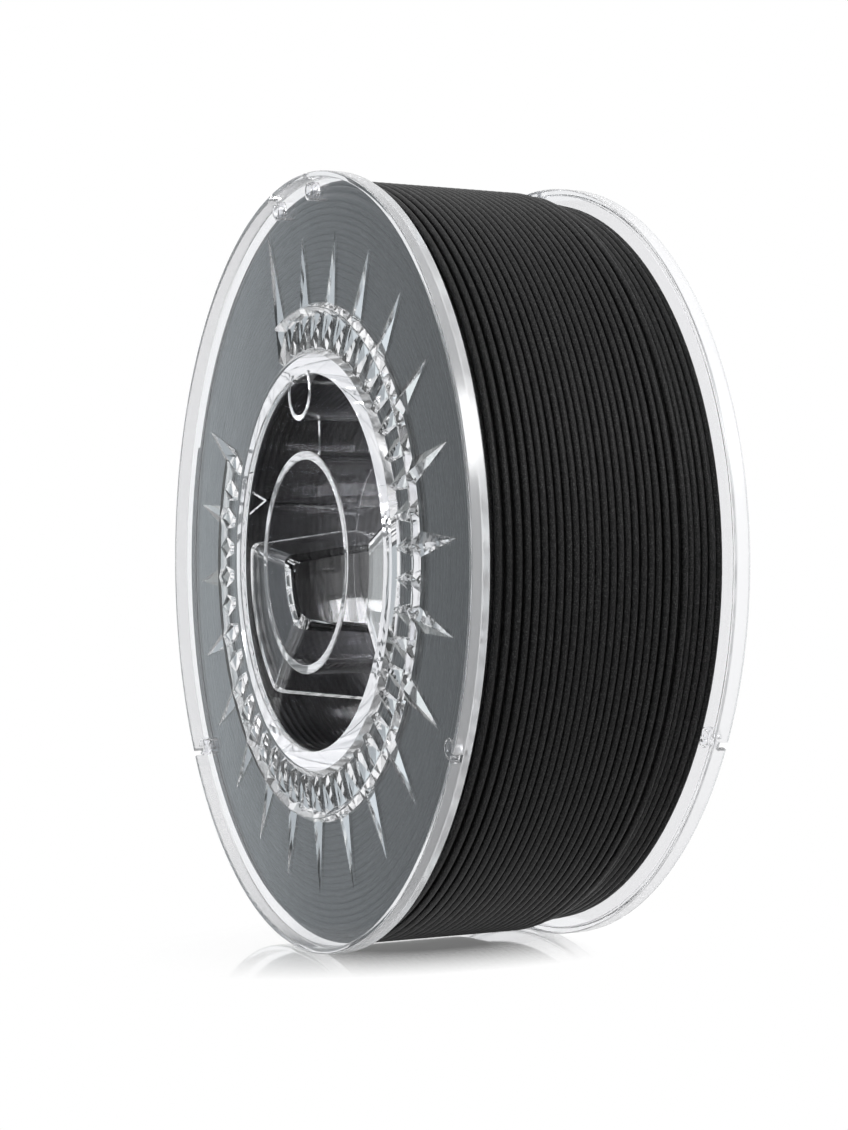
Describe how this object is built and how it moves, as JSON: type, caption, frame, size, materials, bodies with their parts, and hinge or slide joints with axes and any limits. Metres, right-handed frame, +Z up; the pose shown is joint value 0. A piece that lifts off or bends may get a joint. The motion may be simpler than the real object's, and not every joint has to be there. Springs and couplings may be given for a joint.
{
  "type": "filament spool",
  "caption": "Clear plastic filament spool with a sunburst flange on each side, an open hub on hollow arms, a drive pin socket, and a wound roll of matte black filament.",
  "frame": {"origin": "on the axis of the hub's bore, half way across the spool's width", "axes": "+Y along the bore axis from the near flange to the far one, +Z up with the drive pin socket 4 degrees left of the top, +X to the right seen from the near side"},
  "size_m": [0.2, 0.072, 0.2],
  "materials": {
    "clear_plastic": "clear moulded polystyrene, polished faces",
    "filament": "matte black filament with fine grey specks"
  },
  "bodies": {
    "root": {"near_flange": "clear_plastic", "far_flange": "clear_plastic", "filament_core": "filament", "filament_outer_layer": "filament"}
  },
  "joints": []
}
